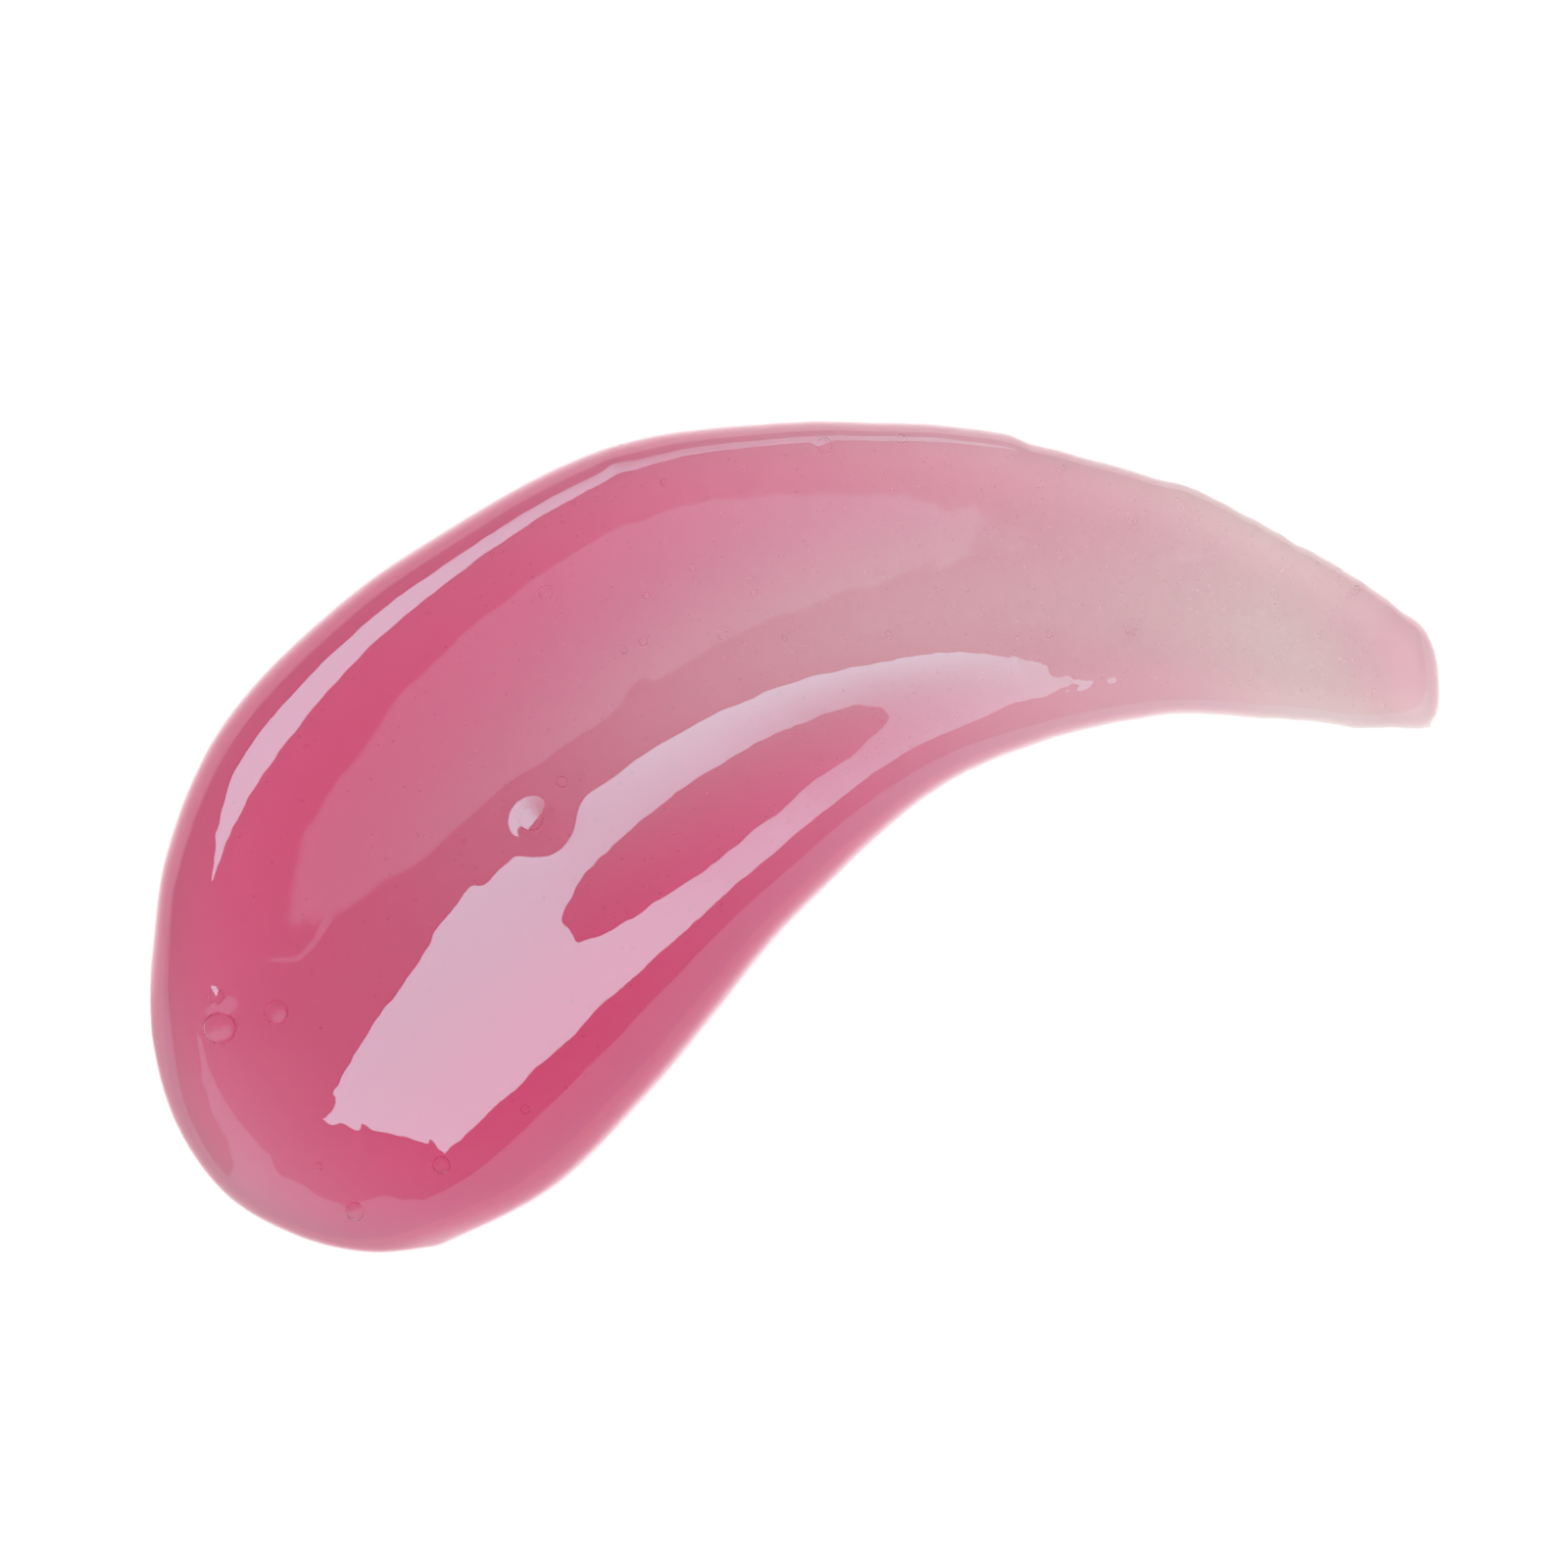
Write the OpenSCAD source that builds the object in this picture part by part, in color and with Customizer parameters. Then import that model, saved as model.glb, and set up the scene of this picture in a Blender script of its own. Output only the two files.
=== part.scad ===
// Lip gloss smear: one comma-shaped stroke of clear gel, thick and rounded at the
// head, hollowed along the middle by the applicator and drawn out to a thin tail,
// with air bubbles caught inside it.  Millimetres, +Z up, underside on Z = 0.

/* [Smear] */
// Length of the smear in X, head to tail
smear_length = 42; // [30:0.5:60]
// Thickness of the gel against the thickness map below
thickness_factor = 1; // [0.7:0.05:1.3]

/* [Edge] */
// How far the rounded edge reaches in on the left of the head
edge_width_left = 0.6; // [0.2:0.05:1.5]
// How far the rounded edge reaches in on the right of the head
edge_width_right = 1.2; // [0.2:0.05:2]
// How far the rounded edge reaches in at the end of the head
edge_width_head = 2.3; // [0.3:0.05:3]
// How far the rounded edge reaches in at the tail
edge_width_tail = 0.3; // [0.1:0.05:0.8]
// Share of the rise that is a steep lip right at the outline
lip_share = 0.35; // [0:0.05:0.6]
// How far the steep lip reaches in
lip_width = 0.1; // [0.05:0.01:0.3]
// Fullness of the rounded edge, small is blunter
edge_power = 0.6; // [0.4:0.05:1]

/* [Bubbles] */
// Size of the trapped bubbles against their usual size
bubble_factor = 1; // [0.5:0.05:1]

/* [Surface] */
// Cells along the smear
steps_along = 80; // [40:4:100]
// Cells across the smear
steps_across = 32; // [16:2:40]

/* [Hidden] */
drawn_length = 42;
trim = 0.05;
size = smear_length / drawn_length;

// The outline runs through these points.  Left and right sides go from the head
// to the tail, the two ends go from the left side to the right side.
left_side = [[-21, -4], [-20.4, -0.3], [-18.8, 3.5], [-15.4, 7.2], [-10.7, 10.5], [-6, 12.8],
             [-1.2, 13.5], [3.9, 13.5], [8.9, 12.6], [13.4, 11.2], [17.1, 9.2], [20.5, 7]];
right_side = [[-11.6, -13.3], [-7.9, -11.4], [-5, -8.6], [-2.6, -5.7], [-0.3, -2.9], [2.6, 0],
              [5.5, 2.1], [8.8, 3.4], [12.2, 4], [15.4, 3.9], [18.3, 3.6], [20.9, 3.5]];
head_end = [[-21, -4], [-20.9, -6.8], [-20.1, -9.5], [-18.5, -11.7], [-16.2, -13], [-13.9, -13.5],
            [-11.6, -13.3]];
tail_end = [[20.5, 7], [20.9, 5.9], [21, 4.6], [20.9, 3.5]];

// Gel thickness before the edge is rounded: one row per station from head to
// tail, each row from the left side to the right side.
thickness = [
    [2.8, 3.0, 2.8, 2.7, 3.1, 3.7, 3.5],
    [2.8, 3.3, 2.9, 2.6, 3.2, 3.8, 3.6],
    [3.0, 3.4, 2.7, 2.0, 2.9, 3.8, 3.7],
    [2.8, 3.0, 2.0, 1.2, 1.9, 3.2, 3.5],
    [2.1, 2.1, 1.5, 1.0, 1.0, 2.1, 2.5],
    [1.4, 1.5, 1.2, 0.9, 0.9, 1.2, 1.6],
    [1.1, 1.1, 1.0, 0.9, 0.8, 1.0, 1.5],
    [0.6, 0.7, 0.5, 0.4, 0.4, 0.4, 0.7],
    [1.2, 1.3, 1.3, 1.3, 1.3, 1.2, 1.1]];

function past_end(p, k) =
    k < 0 ? 2 * p[0] - p[1] :
    k >= len(p) ? 2 * p[len(p) - 1] - p[len(p) - 2] : p[k];

// Curve through the points a, b, c, d, between b and c
function through(a, b, c, d, f) =
    (2 * b + (c - a) * f + (2 * a - 5 * b + 4 * c - d) * f * f
     + (3 * b - a - 3 * c + d) * f * f * f) / 2;

// Smoother curve that only leans towards its four points
function leaning(a, b, c, d, f) =
    (pow(1 - f, 3) * a + (3 * f * f * f - 6 * f * f + 4) * b
     + (3 * f * f - 3 * f * f * f + 3 * f + 1) * c + f * f * f * d) / 6;

function cell(p, t) = min(len(p) - 2, floor(t * (len(p) - 1)));

function along_curve(p, t) =
    let (k = cell(p, t))
    through(past_end(p, k - 1), p[k], p[k + 1], past_end(p, k + 2), t * (len(p) - 1) - k);

function blended(p, t) =
    let (k = cell(p, t))
    leaning(past_end(p, k - 1), p[k], p[k + 1], past_end(p, k + 2), t * (len(p) - 1) - k);

// Rows of cells crowd towards every edge, where the surface turns fastest
function crowd_along(k) = let (t = k / steps_along) t - 0.9 * sin(360 * t) / (2 * PI);
function crowd_across(k) = (1 - cos(180 * k / steps_across)) / 2;

// Straight rules between the two sides, pushed out to the round ends
function spot(left, right, head, tail, u, v) =
    left * (1 - v) + right * v
    + pow(1 - u, 3) * (head - left_side[0] * (1 - v) - right_side[0] * v)
    + pow(u, 8) * (tail - left_side[len(left_side) - 1] * (1 - v)
                   - right_side[len(right_side) - 1] * v);

// How far the edge has risen at this distance in; edges narrow from head to tail
function rounded(distance, head_width, u) =
    let (width = head_width + (edge_width_tail - head_width) * min(1, 1.6 * u))
    1 - lip_share * exp(-distance / lip_width) - (1 - lip_share) * exp(-distance / width);

// Every point of the upper surface in the drawing's own place and size
lows = [for (k = [0:steps_across]) along_curve(head_end, crowd_across(k))];
ends = [for (k = [0:steps_across]) along_curve(tail_end, crowd_across(k))];
plan = [for (i = [0:steps_along])
    let (u = crowd_along(i), left = along_curve(left_side, u), right = along_curve(right_side, u))
    [for (j = [0:steps_across]) spot(left, right, lows[j], ends[j], u, crowd_across(j))]];

function lift(i, j) =
    let (u = crowd_along(i), v = crowd_across(j),
         here = plan[i][j],
         row = [for (r = [0:len(thickness[0]) - 1])
                blended([for (station = thickness) station[r]], u)],
         edge = rounded(norm(here - plan[i][0]), edge_width_left, u)
              * rounded(norm(here - plan[i][steps_across]), edge_width_right, u)
              * rounded(norm(here - plan[0][j]), edge_width_head, u)
              * rounded(norm(here - plan[steps_along][j]), edge_width_left, u))
    edge <= 0.000001 ? 0 : thickness_factor * blended(row, v) * pow(edge, edge_power);

flat_points = [for (row = plan) each row];
low_corner = [min([for (p = flat_points) p[0]]), min([for (p = flat_points) p[1]])];
high_corner = [max([for (p = flat_points) p[0]]), max([for (p = flat_points) p[1]])];
middle = (low_corner + high_corner) / 2;

function index(i, j) = i * (steps_across + 1) + j;

module gel_skin() {
    surface = [for (i = [0:steps_along], j = [0:steps_across])
        let (p = (plan[i][j] - middle) * size) [p[0], p[1], lift(i, j) - trim]];
    upper = [for (i = [0:steps_along - 1], j = [0:steps_across - 1])
        [index(i, j), index(i + 1, j), index(i + 1, j + 1), index(i, j + 1)]];
    under = [for (i = [0:steps_along - 1])
        [index(i, 0), index(i, steps_across), index(i + 1, steps_across), index(i + 1, 0)]];
    under_head = [for (j = [0:steps_across]) index(0, j)];
    under_tail = [for (j = [steps_across:-1:0]) index(steps_along, j)];
    polyhedron(points = surface, faces = concat(upper, under, [under_head], [under_tail]));
}

// The skin reaches a hair below the surface it lies on, and is cut off flat there
module gel_mass() {
    intersection() {
        gel_skin();
        translate([-smear_length, -smear_length, 0])
            cube([2 * smear_length, 2 * smear_length, smear_length]);
    }
}

// One bubble: centre in the drawing's own place, radius, and how far it is drawn out
module bubble(place, radius, stretch = 1, turn = 0) {
    translate([(place[0] - middle[0]) * size, (place[1] - middle[1]) * size,
               place[2] * thickness_factor])
        rotate([0, 0, turn])
            scale([stretch, 1, 1])
                sphere(r = radius * bubble_factor, $fn = 32);
}

// Each bubble's own place, radius and, for the long one, stretch and turn
module air_dome() bubble([-8.6, 0.6, 1.35], 0.4);
module air_beside_dome() bubble([-7.6, 1.8, 1.3], 0.18);
module air_head_upper() bubble([-18.7, -5.1, 2.3], 0.25);
module air_head_left() bubble([-18.6, -6.1, 2], 0.55);
module air_head_inner() bubble([-16.8, -5.6, 2.1], 0.4);
module air_head_low() bubble([-11.4, -10.5, 2.6], 0.3);
module air_head_right() bubble([-8.7, -8.7, 3], 0.15);
module air_head_corner() bubble([-15.4, -10.6, 2], 0.15);
module air_head_foot() bubble([-14.2, -12, 1.8], 0.3);
module air_rim_long() bubble([-6, 12.3, 0.7], 0.26, 1.8, 15);
module air_rim_middle() bubble([0.9, 12.7, 1], 0.25);
module air_rim_end() bubble([3.4, 12.9, 0.9], 0.15);
module air_rim_below() bubble([-4.3, 11.5, 1.5], 0.12);
module air_trough_pale() bubble([-8.2, 8, 1.2], 0.25);
module air_trough_left() bubble([-5.6, 6.1, 1.2], 0.12);
module air_trough_centre() bubble([-5, 6.4, 1.1], 0.15);
module air_trough_right() bubble([-2.4, 6.6, 0.8], 0.17);
module air_trough_high() bubble([-3.4, 8.8, 1.2], 0.12);
module air_trough_far() bubble([-1.4, 8, 0.9], 0.12);
module air_trough_side() bubble([-4.9, 7.9, 1.2], 0.12);
module air_trough_low() bubble([-0.4, 6.5, 0.7], 0.1);
module air_tail_first() bubble([3, 6.6, 0.6], 0.12);
module air_tail_second() bubble([8.2, 6.6, 0.5], 0.12);
module air_tail_upper() bubble([10.9, 10.3, 0.6], 0.15);
module air_tail_edge() bubble([8.6, 12, 0.5], 0.12);
module air_tail_lower() bubble([10.9, 6.7, 0.4], 0.18);
module air_tail_last() bubble([18.2, 8, 0.3], 0.12);

module all_bubbles() {
    air_dome();
    air_beside_dome();
    air_head_upper();
    air_head_left();
    air_head_inner();
    air_head_low();
    air_head_right();
    air_head_corner();
    air_head_foot();
    air_rim_long();
    air_rim_middle();
    air_rim_end();
    air_rim_below();
    air_trough_pale();
    air_trough_left();
    air_trough_centre();
    air_trough_right();
    air_trough_high();
    air_trough_far();
    air_trough_side();
    air_trough_low();
    air_tail_first();
    air_tail_second();
    air_tail_upper();
    air_tail_edge();
    air_tail_lower();
    air_tail_last();
}

// The gel has a hollow exactly where each bubble sits
module gel() color([0.8, 0.35, 0.48])
    difference() {
        gel_mass();
        all_bubbles();
    }

air_colour = [0.93, 0.8, 0.85];
module bubble_dome() color(air_colour) air_dome();
module bubble_beside_dome() color(air_colour) air_beside_dome();
module bubble_head_upper() color(air_colour) air_head_upper();
module bubble_head_left() color(air_colour) air_head_left();
module bubble_head_inner() color(air_colour) air_head_inner();
module bubble_head_low() color(air_colour) air_head_low();
module bubble_head_right() color(air_colour) air_head_right();
module bubble_head_corner() color(air_colour) air_head_corner();
module bubble_head_foot() color(air_colour) air_head_foot();
module bubble_rim_long() color(air_colour) air_rim_long();
module bubble_rim_middle() color(air_colour) air_rim_middle();
module bubble_rim_end() color(air_colour) air_rim_end();
module bubble_rim_below() color(air_colour) air_rim_below();
module bubble_trough_pale() color(air_colour) air_trough_pale();
module bubble_trough_left() color(air_colour) air_trough_left();
module bubble_trough_centre() color(air_colour) air_trough_centre();
module bubble_trough_right() color(air_colour) air_trough_right();
module bubble_trough_high() color(air_colour) air_trough_high();
module bubble_trough_far() color(air_colour) air_trough_far();
module bubble_trough_side() color(air_colour) air_trough_side();
module bubble_trough_low() color(air_colour) air_trough_low();
module bubble_tail_first() color(air_colour) air_tail_first();
module bubble_tail_second() color(air_colour) air_tail_second();
module bubble_tail_upper() color(air_colour) air_tail_upper();
module bubble_tail_edge() color(air_colour) air_tail_edge();
module bubble_tail_lower() color(air_colour) air_tail_lower();
module bubble_tail_last() color(air_colour) air_tail_last();

gel();
bubble_dome();
bubble_beside_dome();
bubble_head_upper();
bubble_head_left();
bubble_head_inner();
bubble_head_low();
bubble_head_right();
bubble_head_corner();
bubble_head_foot();
bubble_rim_long();
bubble_rim_middle();
bubble_rim_end();
bubble_rim_below();
bubble_trough_pale();
bubble_trough_left();
bubble_trough_centre();
bubble_trough_right();
bubble_trough_high();
bubble_trough_far();
bubble_trough_side();
bubble_trough_low();
bubble_tail_first();
bubble_tail_second();
bubble_tail_upper();
bubble_tail_edge();
bubble_tail_lower();
bubble_tail_last();
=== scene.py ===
import math

import bpy
import numpy as np
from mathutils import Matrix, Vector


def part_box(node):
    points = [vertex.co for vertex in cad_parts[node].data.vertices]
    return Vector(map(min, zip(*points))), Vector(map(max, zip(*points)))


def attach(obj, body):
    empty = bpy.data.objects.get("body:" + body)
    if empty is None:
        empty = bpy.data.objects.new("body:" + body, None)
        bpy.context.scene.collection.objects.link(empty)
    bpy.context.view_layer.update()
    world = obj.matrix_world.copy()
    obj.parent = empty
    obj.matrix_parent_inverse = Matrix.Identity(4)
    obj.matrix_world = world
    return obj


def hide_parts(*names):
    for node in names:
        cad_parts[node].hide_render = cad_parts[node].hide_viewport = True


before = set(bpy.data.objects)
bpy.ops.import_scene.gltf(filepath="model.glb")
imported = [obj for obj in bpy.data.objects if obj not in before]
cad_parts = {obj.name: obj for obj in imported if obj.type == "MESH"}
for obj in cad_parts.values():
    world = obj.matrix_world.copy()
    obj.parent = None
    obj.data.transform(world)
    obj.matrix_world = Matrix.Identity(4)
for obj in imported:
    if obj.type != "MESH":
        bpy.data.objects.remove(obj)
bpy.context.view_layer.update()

MM = 0.001
BODY = "root"

# ---------------------------------------------------------------- the gel's shape
# The same outline and thickness map as the CAD gel, in the drawing's millimetres.
# They are fitted to the CAD gel's own box below, so the two always agree in size.

LEFT_SIDE = [(-21, -4), (-20.4, -0.3), (-18.8, 3.5), (-15.4, 7.2), (-10.7, 10.5), (-6, 12.8),
             (-1.2, 13.5), (3.9, 13.5), (8.9, 12.6), (13.4, 11.2), (17.1, 9.2), (20.5, 7)]
RIGHT_SIDE = [(-11.6, -13.3), (-7.9, -11.4), (-5, -8.6), (-2.6, -5.7), (-0.3, -2.9), (2.6, 0),
              (5.5, 2.1), (8.8, 3.4), (12.2, 4), (15.4, 3.9), (18.3, 3.6), (20.9, 3.5)]
HEAD_END = [(-21, -4), (-20.9, -6.8), (-20.1, -9.5), (-18.5, -11.7), (-16.2, -13),
            (-13.9, -13.5), (-11.6, -13.3)]
TAIL_END = [(20.5, 7), (20.9, 5.9), (21, 4.6), (20.9, 3.5)]

# Rows from the head to the tail, each from the left side to the right side
THICKNESS = [
    [2.8, 3.0, 2.8, 2.7, 3.1, 3.7, 3.5],
    [2.8, 3.3, 2.9, 2.6, 3.2, 3.8, 3.6],
    [3.0, 3.4, 2.7, 2.0, 2.9, 3.8, 3.7],
    [2.8, 3.0, 2.0, 1.2, 1.9, 3.2, 3.5],
    [2.1, 2.1, 1.5, 1.0, 1.0, 2.1, 2.5],
    [1.4, 1.5, 1.2, 0.9, 0.9, 1.2, 1.6],
    [1.1, 1.1, 1.0, 0.9, 0.8, 1.0, 1.5],
    [0.6, 0.7, 0.5, 0.4, 0.4, 0.4, 0.7],
    [1.2, 1.3, 1.3, 1.3, 1.3, 1.2, 1.1]]

# How far the rounded edge reaches in, with a steep lip right at the outline
EDGE_WIDTH_LEFT = 0.6
EDGE_WIDTH_RIGHT = 1.2
EDGE_WIDTH_HEAD = 2.3
EDGE_WIDTH_TAIL = 0.3
LIP_SHARE = 0.35
LIP_WIDTH = 0.1
EDGE_POWER = 0.6
STEPS_ALONG = 560
STEPS_ACROSS = 230


def neighbours(points, t):
    """The four points round each place t on a row of points, and how far past the second."""
    p = np.asarray(points, float)
    last = len(p) - 1
    t = np.asarray(t) * last
    k = np.clip(np.floor(t).astype(int), 0, last - 1)
    padded = np.vstack([2 * p[:1] - p[1:2], p, 2 * p[-1:] - p[-2:-1]])
    return padded[k], padded[k + 1], padded[k + 2], padded[k + 3], (t - k)[:, None]


def curve_through(points, t):
    """A smooth curve that passes through its points."""
    a, b, c, d, f = neighbours(points, t)
    bend = (2 * a - 5 * b + 4 * c - d) * f**2 + (3 * b - a - 3 * c + d) * f**3
    return (2 * b + (c - a) * f + bend) / 2


def curve_leaning(points, t):
    """A smoother curve that only leans towards its points."""
    a, b, c, d, f = neighbours(points, t)
    near = (1 - f)**3 * a + (3 * f**3 - 6 * f**2 + 4) * b
    far = (3 * f**2 - 3 * f**3 + 3 * f + 1) * c + f**3 * d
    return (near + far) / 6


def gel_plan():
    """Every surface point's place in plan, rows along the smear and columns across it."""
    t = np.linspace(0, 1, STEPS_ALONG + 1)
    u = t - 0.9 * np.sin(2 * np.pi * t) / (2 * np.pi)
    v = (1 - np.cos(np.pi * np.linspace(0, 1, STEPS_ACROSS + 1))) / 2
    left = curve_through(LEFT_SIDE, u)[:, None, :]
    right = curve_through(RIGHT_SIDE, u)[:, None, :]
    head = curve_through(HEAD_END, v)[None]
    tail = curve_through(TAIL_END, v)[None]
    across = v[None, :, None]
    along = u[:, None, None]
    head_rule = head[:, :1] * (1 - across) + head[:, -1:] * across
    tail_rule = tail[:, :1] * (1 - across) + tail[:, -1:] * across
    plan = left * (1 - across) + right * across
    plan = plan + (1 - along)**3 * (head - head_rule) + along**8 * (tail - tail_rule)
    return plan, u, v


def gel_height(plan, u, v):
    """The smooth thickness at every point, rounded down to nothing at the edge."""
    rows = curve_leaning(THICKNESS, u)
    map_height = curve_leaning(rows.T, v).T
    narrowing = np.minimum(1, 1.6 * u)
    sides = ((plan[:, :1], EDGE_WIDTH_LEFT), (plan[:, -1:], EDGE_WIDTH_RIGHT),
             (plan[:1], EDGE_WIDTH_HEAD), (plan[-1:], EDGE_WIDTH_LEFT))
    edge = 1
    for side, head_width in sides:
        width = head_width + (EDGE_WIDTH_TAIL - head_width) * narrowing
        distance = np.linalg.norm(plan - side, axis=2)
        lip = LIP_SHARE * np.exp(-distance / LIP_WIDTH)
        edge = edge * (1 - lip - (1 - LIP_SHARE) * np.exp(-distance / width[:, None]))
    edge = np.clip(edge, 0, 1)
    return map_height * edge**EDGE_POWER, edge


# ---------------------------------------------------------------- fitting to the CAD

gel_low, gel_high = (np.array(c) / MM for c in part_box("gel"))


def fitted(plan, height):
    """Moves and sizes the drawing onto the CAD gel's box."""
    low = plan.reshape(-1, 2).min(axis=0)
    high = plan.reshape(-1, 2).max(axis=0)
    scale = (gel_high[:2] - gel_low[:2]) / (high - low)
    return (plan - low) * scale + gel_low[:2], height * (gel_high[2] / height.max())


def wave(t, waves, seed):
    """A seeded wandering line between about -1 and 1."""
    random = np.random.default_rng(seed)
    knots = random.uniform(-1, 1, waves + 1)
    return curve_through(knots[:, None], np.clip(t, 0, 1))[:, 0]


def uneven_edges(plan, u, v):
    """The outline wanders a little, most of all in the tail.

    There is one notch on the left side, and the tail's right corner is blunted.
    """
    across = plan[:, -1] - plan[:, 0]
    across = across / np.linalg.norm(across, axis=1)[:, None]
    size = 0.03 + 0.07 * u**3
    left = size * (wave(u, 26, 3) + wave(u, 90, 4) * u**3)
    notch = np.interp(u, [0.6, 0.693, 0.703], [0, 0.16, 0])
    left = left + notch
    right = size * (wave(u, 22, 5) + 0.5 * wave(u, 80, 6) * u**3)
    near_left = (1 - v)**6
    near_right = v**6
    shift = right[:, None] * near_right - left[:, None] * near_left
    plan = plan + shift[..., None] * across[:, None, :]
    from_corner = np.linalg.norm(plan - plan[-1, -1], axis=2)
    blunted = np.exp(-(from_corner / 0.5)**2)
    return plan + blunted[..., None] * np.array([-0.2, 0.2])


plan, along_u, across_v = gel_plan()
smooth_height, edge_fill = gel_height(plan, along_u, across_v)
plan = uneven_edges(plan, along_u, across_v)
plan, smooth_height = fitted(plan, smooth_height)


def centre_of(node):
    """The middle of a CAD node's box, in millimetres."""
    low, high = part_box(node)
    return (np.array(low) + np.array(high)) / 2 / MM


def radius_of(node):
    """Half of a CAD node's height, in millimetres."""
    low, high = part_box(node)
    return (high[2] - low[2]) / 2 / MM


# ---------------------------------------------------------------- fine relief

def swell(place, radius, height):
    """A smooth rise, such as a bubble just under the surface pushes up."""
    d2 = ((plan - np.array(place[:2]))**2).sum(axis=2) / radius**2
    return height * np.exp(-d2)


def crease(points, width, depth):
    """A shallow groove along a row of points."""
    distance = np.full(plan.shape[:2], np.inf)
    for a, b in zip(np.array(points[:-1], float), np.array(points[1:], float)):
        along = ((plan - a) @ (b - a)) / ((b - a) @ (b - a))
        nearest = a + np.clip(along, 0, 1)[..., None] * (b - a)
        distance = np.minimum(distance, np.linalg.norm(plan - nearest, axis=2))
    return -depth * np.exp(-(distance / width)**2)


def ripples(cell, height, seed):
    """Gentle seeded unevenness, its bumps about one cell apart."""
    random = np.random.default_rng(seed)
    x = (plan[..., 0] - plan[..., 0].min()) / cell
    y = (plan[..., 1] - plan[..., 1].min()) / cell
    values = random.uniform(-1, 1, (int(x.max()) + 2, int(y.max()) + 2))
    i, j = np.floor(x).astype(int), np.floor(y).astype(int)
    fx, fy = x - i, y - j
    fx = fx**3 * (fx * (6 * fx - 15) + 10)
    fy = fy**3 * (fy * (6 * fy - 15) + 10)
    near = values[i, j] * (1 - fy) + values[i, j + 1] * fy
    far = values[i + 1, j] * (1 - fy) + values[i + 1, j + 1] * fy
    return height * (near * (1 - fx) + far * fx)


# Bubbles close under the surface: node, shift of the swell's top, its radius and height
SWELLS = [
    ("bubble_dome", (0.22, -0.08, 0), 0.76, 0.235),
    ("bubble_beside_dome", (0, 0, 0), 0.28, 0.06),
    ("bubble_head_upper", (0.1, -0.1, 0), 0.4, 0.1),
    ("bubble_rim_long", (-0.05, 0.1, 0), 0.4, 0.09)]
# Bubbles that only just lift the surface, each by its own size
SLIGHT_SWELLS = ("bubble_head_left", "bubble_head_inner", "bubble_head_foot", "bubble_rim_middle")
# A slight mound in the hollow, with no bubble under it
HOLLOW_MOUND = (-4.9, 4.6)
# Faint grooves: the points they run through, width and depth
CREASES = [
    ([(-17.2, -4.1), (-16, -4.1), (-15.4, -3.5), (-15, -2.8)], 0.1, 0.012),
    ([(-19.6, -1.4), (-19.7, -4), (-19.1, -6.2)], 0.12, 0.015),
    ([(-11.6, -2.9), (-11, -2.2), (-10.7, -1.7)], 0.25, 0.03)]
# Unevenness from coarse to fine: cell, height and seed
RIPPLES = [(1.1, 0.004, 11), (0.45, 0.0012, 12), (0.22, 0.0005, 13)]

relief = 0
for node, shift, radius, height in SWELLS:
    relief = relief + swell(centre_of(node) + shift, radius, height)
for node in SLIGHT_SWELLS:
    size = radius_of(node)
    relief = relief + swell(centre_of(node), 0.05 + 0.5 * size, 0.13 * size)
relief = relief + swell(HOLLOW_MOUND, 0.5, 0.025)
for points, width, depth in CREASES:
    relief = relief + crease(points, width, depth)
for cell, height, seed in RIPPLES:
    relief = relief + ripples(cell, height, seed)
gel_height_map = smooth_height + relief * np.clip(edge_fill, 0, 1)


# ---------------------------------------------------------------- materials

def new_material(name):
    """A fresh material, its node tree and its main shader."""
    material = bpy.data.materials.new(name)
    material.use_nodes = True
    tree = material.node_tree
    return material, tree, tree.nodes["Principled BSDF"]


def fine_grain(tree, shader, cells_per_metre, distance):
    """A noise bump on the shader; returns the noise."""
    where = tree.nodes.new("ShaderNodeTexCoord")
    noise = tree.nodes.new("ShaderNodeTexNoise")
    noise.inputs["Scale"].default_value = cells_per_metre
    noise.inputs["Detail"].default_value = 3
    tree.links.new(where.outputs["Object"], noise.inputs["Vector"])
    bump = tree.nodes.new("ShaderNodeBump")
    bump.inputs["Distance"].default_value = distance
    tree.links.new(noise.outputs["Fac"], bump.inputs["Height"])
    tree.links.new(bump.outputs["Normal"], shader.inputs["Normal"])
    return noise


def gel_material():
    """Clear gel that soaks up green most and blue next, so it turns from blush to rose."""
    material, tree, shader = new_material("pink_gloss_gel")
    shader.inputs["Base Color"].default_value = (0.745, 0.9, 0.685, 1)
    shader.inputs["Roughness"].default_value = 0.0
    shader.inputs["IOR"].default_value = 1.47
    shader.inputs["Transmission Weight"].default_value = 1.0
    fine_grain(tree, shader, 5000, 0.05e-6)
    absorb = tree.nodes.new("ShaderNodeVolumeAbsorption")
    absorb.inputs["Color"].default_value = (0.888, 0.0, 0.43, 1)
    absorb.inputs["Density"].default_value = 340
    tree.links.new(absorb.outputs[0], tree.nodes["Material Output"].inputs["Volume"])
    return material


def air_material(name, index):
    """Air in gel; a gentler bend of light than a sharp bubble keeps them faint."""
    material, tree, shader = new_material(name)
    shader.inputs["Base Color"].default_value = (1, 1, 1, 1)
    shader.inputs["Roughness"].default_value = 0.0
    shader.inputs["IOR"].default_value = index
    shader.inputs["Transmission Weight"].default_value = 1.0
    return material


def floor_material():
    """Matt white card with a fine paper grain."""
    material, tree, shader = new_material("white_card")
    shader.inputs["Base Color"].default_value = (0.93, 0.93, 0.93, 1)
    shader.inputs["Roughness"].default_value = 0.9
    shader.inputs["Specular IOR Level"].default_value = 0.0
    fine_grain(tree, shader, 3000, 2e-6)
    return material


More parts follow.
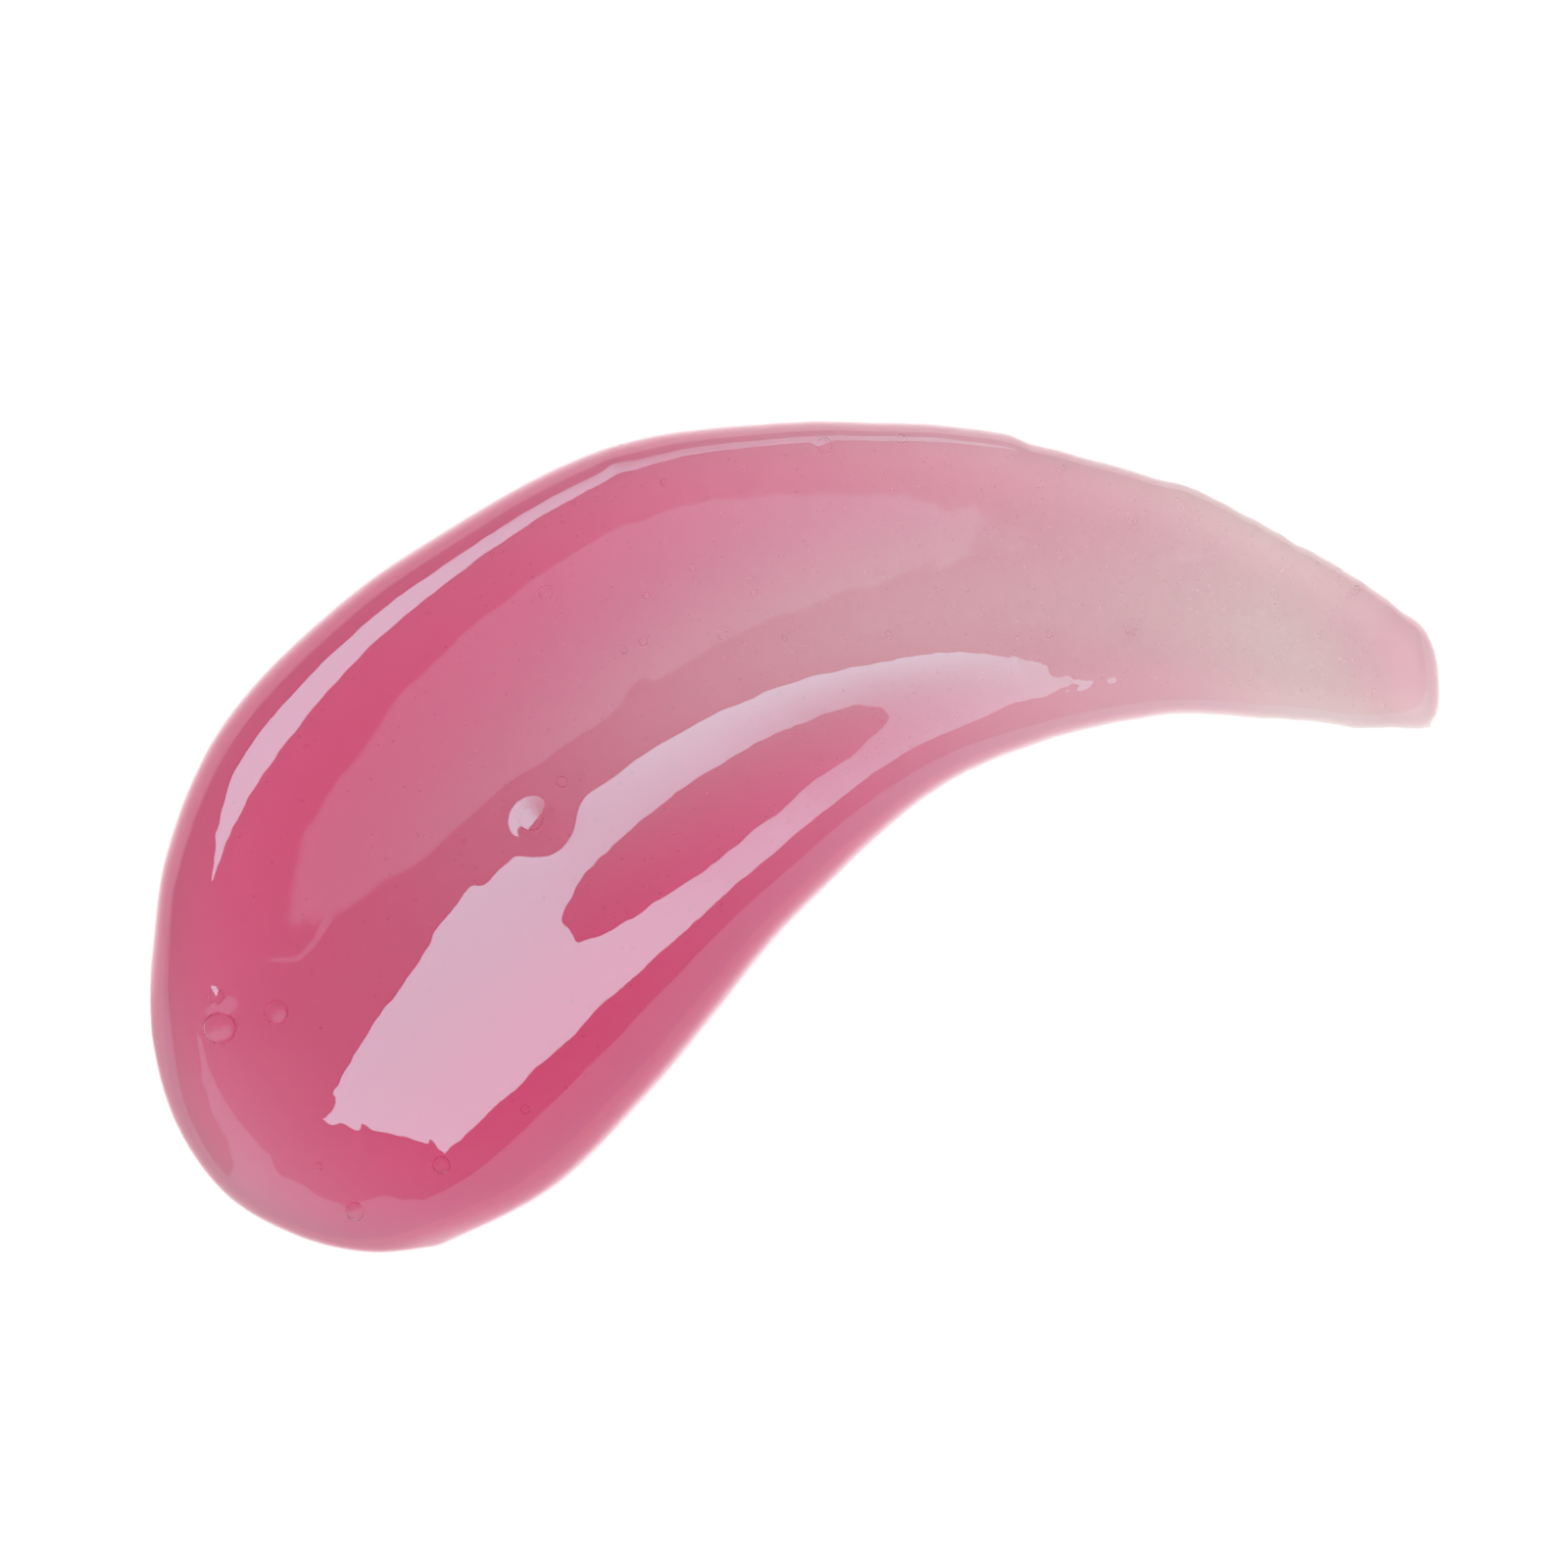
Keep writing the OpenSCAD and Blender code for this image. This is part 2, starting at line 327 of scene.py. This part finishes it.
def glowing_card(name, colour, strength, steps):
    """Black card that glows where the strongest of some soft steps along its axes is high.

    Each step is its axis, where it starts and ends, and the glow before and after it.
    Without steps the whole card glows evenly.
    """
    material, tree, shader = new_material(name)
    shader.inputs["Base Color"].default_value = (0, 0, 0, 1)
    shader.inputs["Roughness"].default_value = 1
    shader.inputs["Specular IOR Level"].default_value = 0
    shader.inputs["Emission Color"].default_value = (*colour, 1)
    if not steps:
        shader.inputs["Emission Strength"].default_value = strength
        return material
    where = tree.nodes.new("ShaderNodeTexCoord")
    split = tree.nodes.new("ShaderNodeSeparateXYZ")
    tree.links.new(where.outputs["Object"], split.inputs[0])
    glow = None
    for axis, start, end, before, after in steps:
        step = tree.nodes.new("ShaderNodeMapRange")
        step.interpolation_type = "SMOOTHSTEP"
        step.inputs["From Min"].default_value = start
        step.inputs["From Max"].default_value = end
        step.inputs["To Min"].default_value = before * strength
        step.inputs["To Max"].default_value = after * strength
        tree.links.new(split.outputs[axis], step.inputs["Value"])
        if glow is None:
            glow = step.outputs["Result"]
            continue
        stronger = tree.nodes.new("ShaderNodeMath")
        stronger.operation = "MAXIMUM"
        tree.links.new(glow, stronger.inputs[0])
        tree.links.new(step.outputs["Result"], stronger.inputs[1])
        glow = stronger.outputs[0]
    tree.links.new(glow, shader.inputs["Emission Strength"])
    return material


GEL = gel_material()
AIR = air_material("trapped_air", 1.14)
SPECK_AIR = air_material("trapped_specks", 1.1)


# ---------------------------------------------------------------- building pieces

def mesh_piece(name, points, faces, material):
    """A smooth-shaded object from points in metres."""
    mesh = bpy.data.meshes.new(name)
    mesh.from_pydata([tuple(p) for p in points], [], faces)
    mesh.materials.append(material)
    mesh.shade_smooth()
    mesh.update()
    piece = bpy.data.objects.new(name, mesh)
    bpy.context.scene.collection.objects.link(piece)
    return piece


def build_gel():
    """Upper sheet and flat underside, joined round the edge."""
    rows, columns = gel_height_map.shape
    top = np.dstack([plan, np.maximum(gel_height_map, 0)])
    rim = np.zeros((rows, columns), bool)
    rim[0] = rim[-1] = True
    rim[:, 0] = rim[:, -1] = True
    top[rim, 2] = 0
    under = np.dstack([plan, np.zeros((rows, columns))])[~rim]
    top_index = np.arange(rows * columns).reshape(rows, columns)
    under_index = top_index.copy()
    under_index[~rim] = rows * columns + np.arange((~rim).sum())
    points = np.vstack([top.reshape(-1, 3), under]) * MM

    def quads(index, flip):
        corners = [index[:-1, :-1], index[1:, :-1], index[1:, 1:], index[:-1, 1:]]
        order = corners if flip else corners[::-1]
        return np.stack([c.ravel() for c in order], axis=1).tolist()

    faces = quads(top_index, False) + quads(under_index, True)
    piece = mesh_piece("gel_body", points, faces, GEL)
    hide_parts("gel")
    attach(piece, BODY)
    return piece


def ball(rings=16, sides=24):
    """A unit sphere with its faces turned inward, for air inside the gel."""
    points = [(0, 0, 1)]
    for r in range(1, rings):
        a = math.pi * r / rings
        for s in range(sides):
            b = 2 * math.pi * s / sides
            points.append((math.sin(a) * math.cos(b), math.sin(a) * math.sin(b), math.cos(a)))
    points.append((0, 0, -1))
    last = len(points) - 1
    faces = []
    for s in range(sides):
        n = (s + 1) % sides
        faces.append((0, 1 + n, 1 + s))
        for r in range(rings - 2):
            a, b = 1 + r * sides, 1 + (r + 1) * sides
            faces.append((a + s, a + n, b + n, b + s))
        base = 1 + (rings - 2) * sides
        faces.append((last, base + s, base + n))
    return np.array(points), faces


def build_bubbles():
    """A ball of air fitted to the box of every bubble node."""
    unit, faces = ball()
    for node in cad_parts:
        if not node.startswith("bubble_"):
            continue
        low, high = (np.array(c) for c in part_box(node))
        points = (low + high) / 2 + unit * (high - low) / 2
        piece = mesh_piece("air_" + node[len("bubble_"):], points, faces, AIR)
        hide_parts(node)
        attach(piece, BODY)


def build_specks(count=1300):
    """Pinhead bubbles all through the gel, thickest in the hollow and the tail."""
    random = np.random.default_rng(21)
    unit, faces = ball(5, 8)
    all_points, all_faces = [], []
    while len(all_points) < count:
        i = np.searchsorted(along_u, 0.12 + 0.82 * random.beta(1.7, 1.3))
        j = np.searchsorted(across_v, 0.08 + 0.8 * random.random())
        radius = 0.025 + 0.045 * random.random()**3
        space = gel_height_map[i, j] - 2 * radius - 0.1
        if space <= 0:
            continue
        centre = (plan[i, j, 0], plan[i, j, 1], 0.05 + radius + space * random.uniform(0.3, 0.95))
        start = len(all_points) * len(unit)
        all_points.append((unit * radius + centre) * MM)
        all_faces += [tuple(k + start for k in face) for face in faces]
    piece = mesh_piece("air_specks", np.vstack(all_points), all_faces, SPECK_AIR)
    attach(piece, BODY)


build_gel()
build_bubbles()
build_specks()


# ---------------------------------------------------------------- stage

def build_floor():
    """A wide white card, raised a hair so that it never shares a plane with the gel's underside."""
    half = 1.5
    z = 0.02 * MM
    points = [(-half, -half, z), (half, -half, z), (half, half, z), (-half, half, z)]
    floor = mesh_piece("floor", points, [(0, 1, 2, 3)], floor_material())


LAMP_HEIGHT = 0.4
SOFTBOX_COLOUR = (0.42, 1.0, 1.08)
SOFTBOX_STRENGTH = 9.0
FAINT = (0.5, 0.9, 1.05)
FAINT_STRENGTH = 1.6
# How far the faint cards reach from the middle, against their height
REACH = 3.5


def overhead_card(name, height, corners, material):
    """A card that only reflections see.

    Each corner is how far it lies to the upper left and to the lower left, against the height.
    """
    points = [(a, b, 0) for a, b in corners]
    card = mesh_piece(name, np.array(points) * height, [(0, 1, 2, 3)], material)
    card.location = (0, 0, height)
    card.rotation_euler = (0, 0, math.radians(135))
    card.visible_camera = False
    card.visible_diffuse = False
    card.visible_transmission = False
    card.visible_shadow = False


def build_softbox():
    """The bright panel behind both long highlights, set aslant and dimmer towards the tail."""
    h = LAMP_HEIGHT
    far, low_end, high_end = 0.67, 0.3, -0.95
    steps = [("Y", -0.65 * h, -0.05 * h, 0.35, 1.0)]
    glow = glowing_card("softbox_glow", SOFTBOX_COLOUR, SOFTBOX_STRENGTH, steps)
    corners = [(0.21, low_end), (0.34, high_end), (far, high_end), (far, low_end)]
    overhead_card("softbox", h, corners, glow)


def build_ceiling():
    """Black above the gel, with a faint cool glow to the lower right and far out to the left."""
    h = LAMP_HEIGHT * 1.1
    steps = [("X", -0.24 * h, -0.21 * h, 1, 0), ("X", 2.2 * h, 2.9 * h, 0, 1),
             ("Y", 1.6 * h, 1.9 * h, 0, 1)]
    glow = glowing_card("ceiling_glow", FAINT, FAINT_STRENGTH, steps)
    corners = [(-REACH, -REACH), (-REACH, REACH), (REACH, REACH), (REACH, -REACH)]
    overhead_card("ceiling", h, corners, glow)


def build_front_glow():
    """The same faint glow out to the lower left, reaching a little closer in."""
    h = LAMP_HEIGHT * 1.07
    glow = glowing_card("front_glow", FAINT, FAINT_STRENGTH, [])
    side, near = 0.1, 0.62
    corners = [(-REACH, near), (-REACH, REACH), (side, REACH), (side, near)]
    overhead_card("front_card", h, corners, glow)


def build_world():
    """Even white light from all round."""
    world = bpy.data.worlds.new("studio")
    world.use_nodes = True
    world.node_tree.nodes["Background"].inputs["Color"].default_value = (1, 1, 1, 1)
    world.node_tree.nodes["Background"].inputs["Strength"].default_value = 1.8
    bpy.context.scene.world = world


def build_camera():
    """Straight down, with the long lens of a product picture."""
    frame_width = 0.0512
    middle = (-0.0004, 0.0017)
    data = bpy.data.cameras.new("camera")
    data.sensor_width = 36
    data.lens = 135
    data.clip_start = 0.01
    camera = bpy.data.objects.new("camera", data)
    distance = frame_width * data.lens / data.sensor_width
    camera.location = (*middle, distance)
    bpy.context.scene.collection.objects.link(camera)
    bpy.context.scene.camera = camera


build_floor()
build_softbox()
build_ceiling()
build_front_glow()
build_world()
build_camera()
bpy.context.scene.view_settings.view_transform = "Standard"
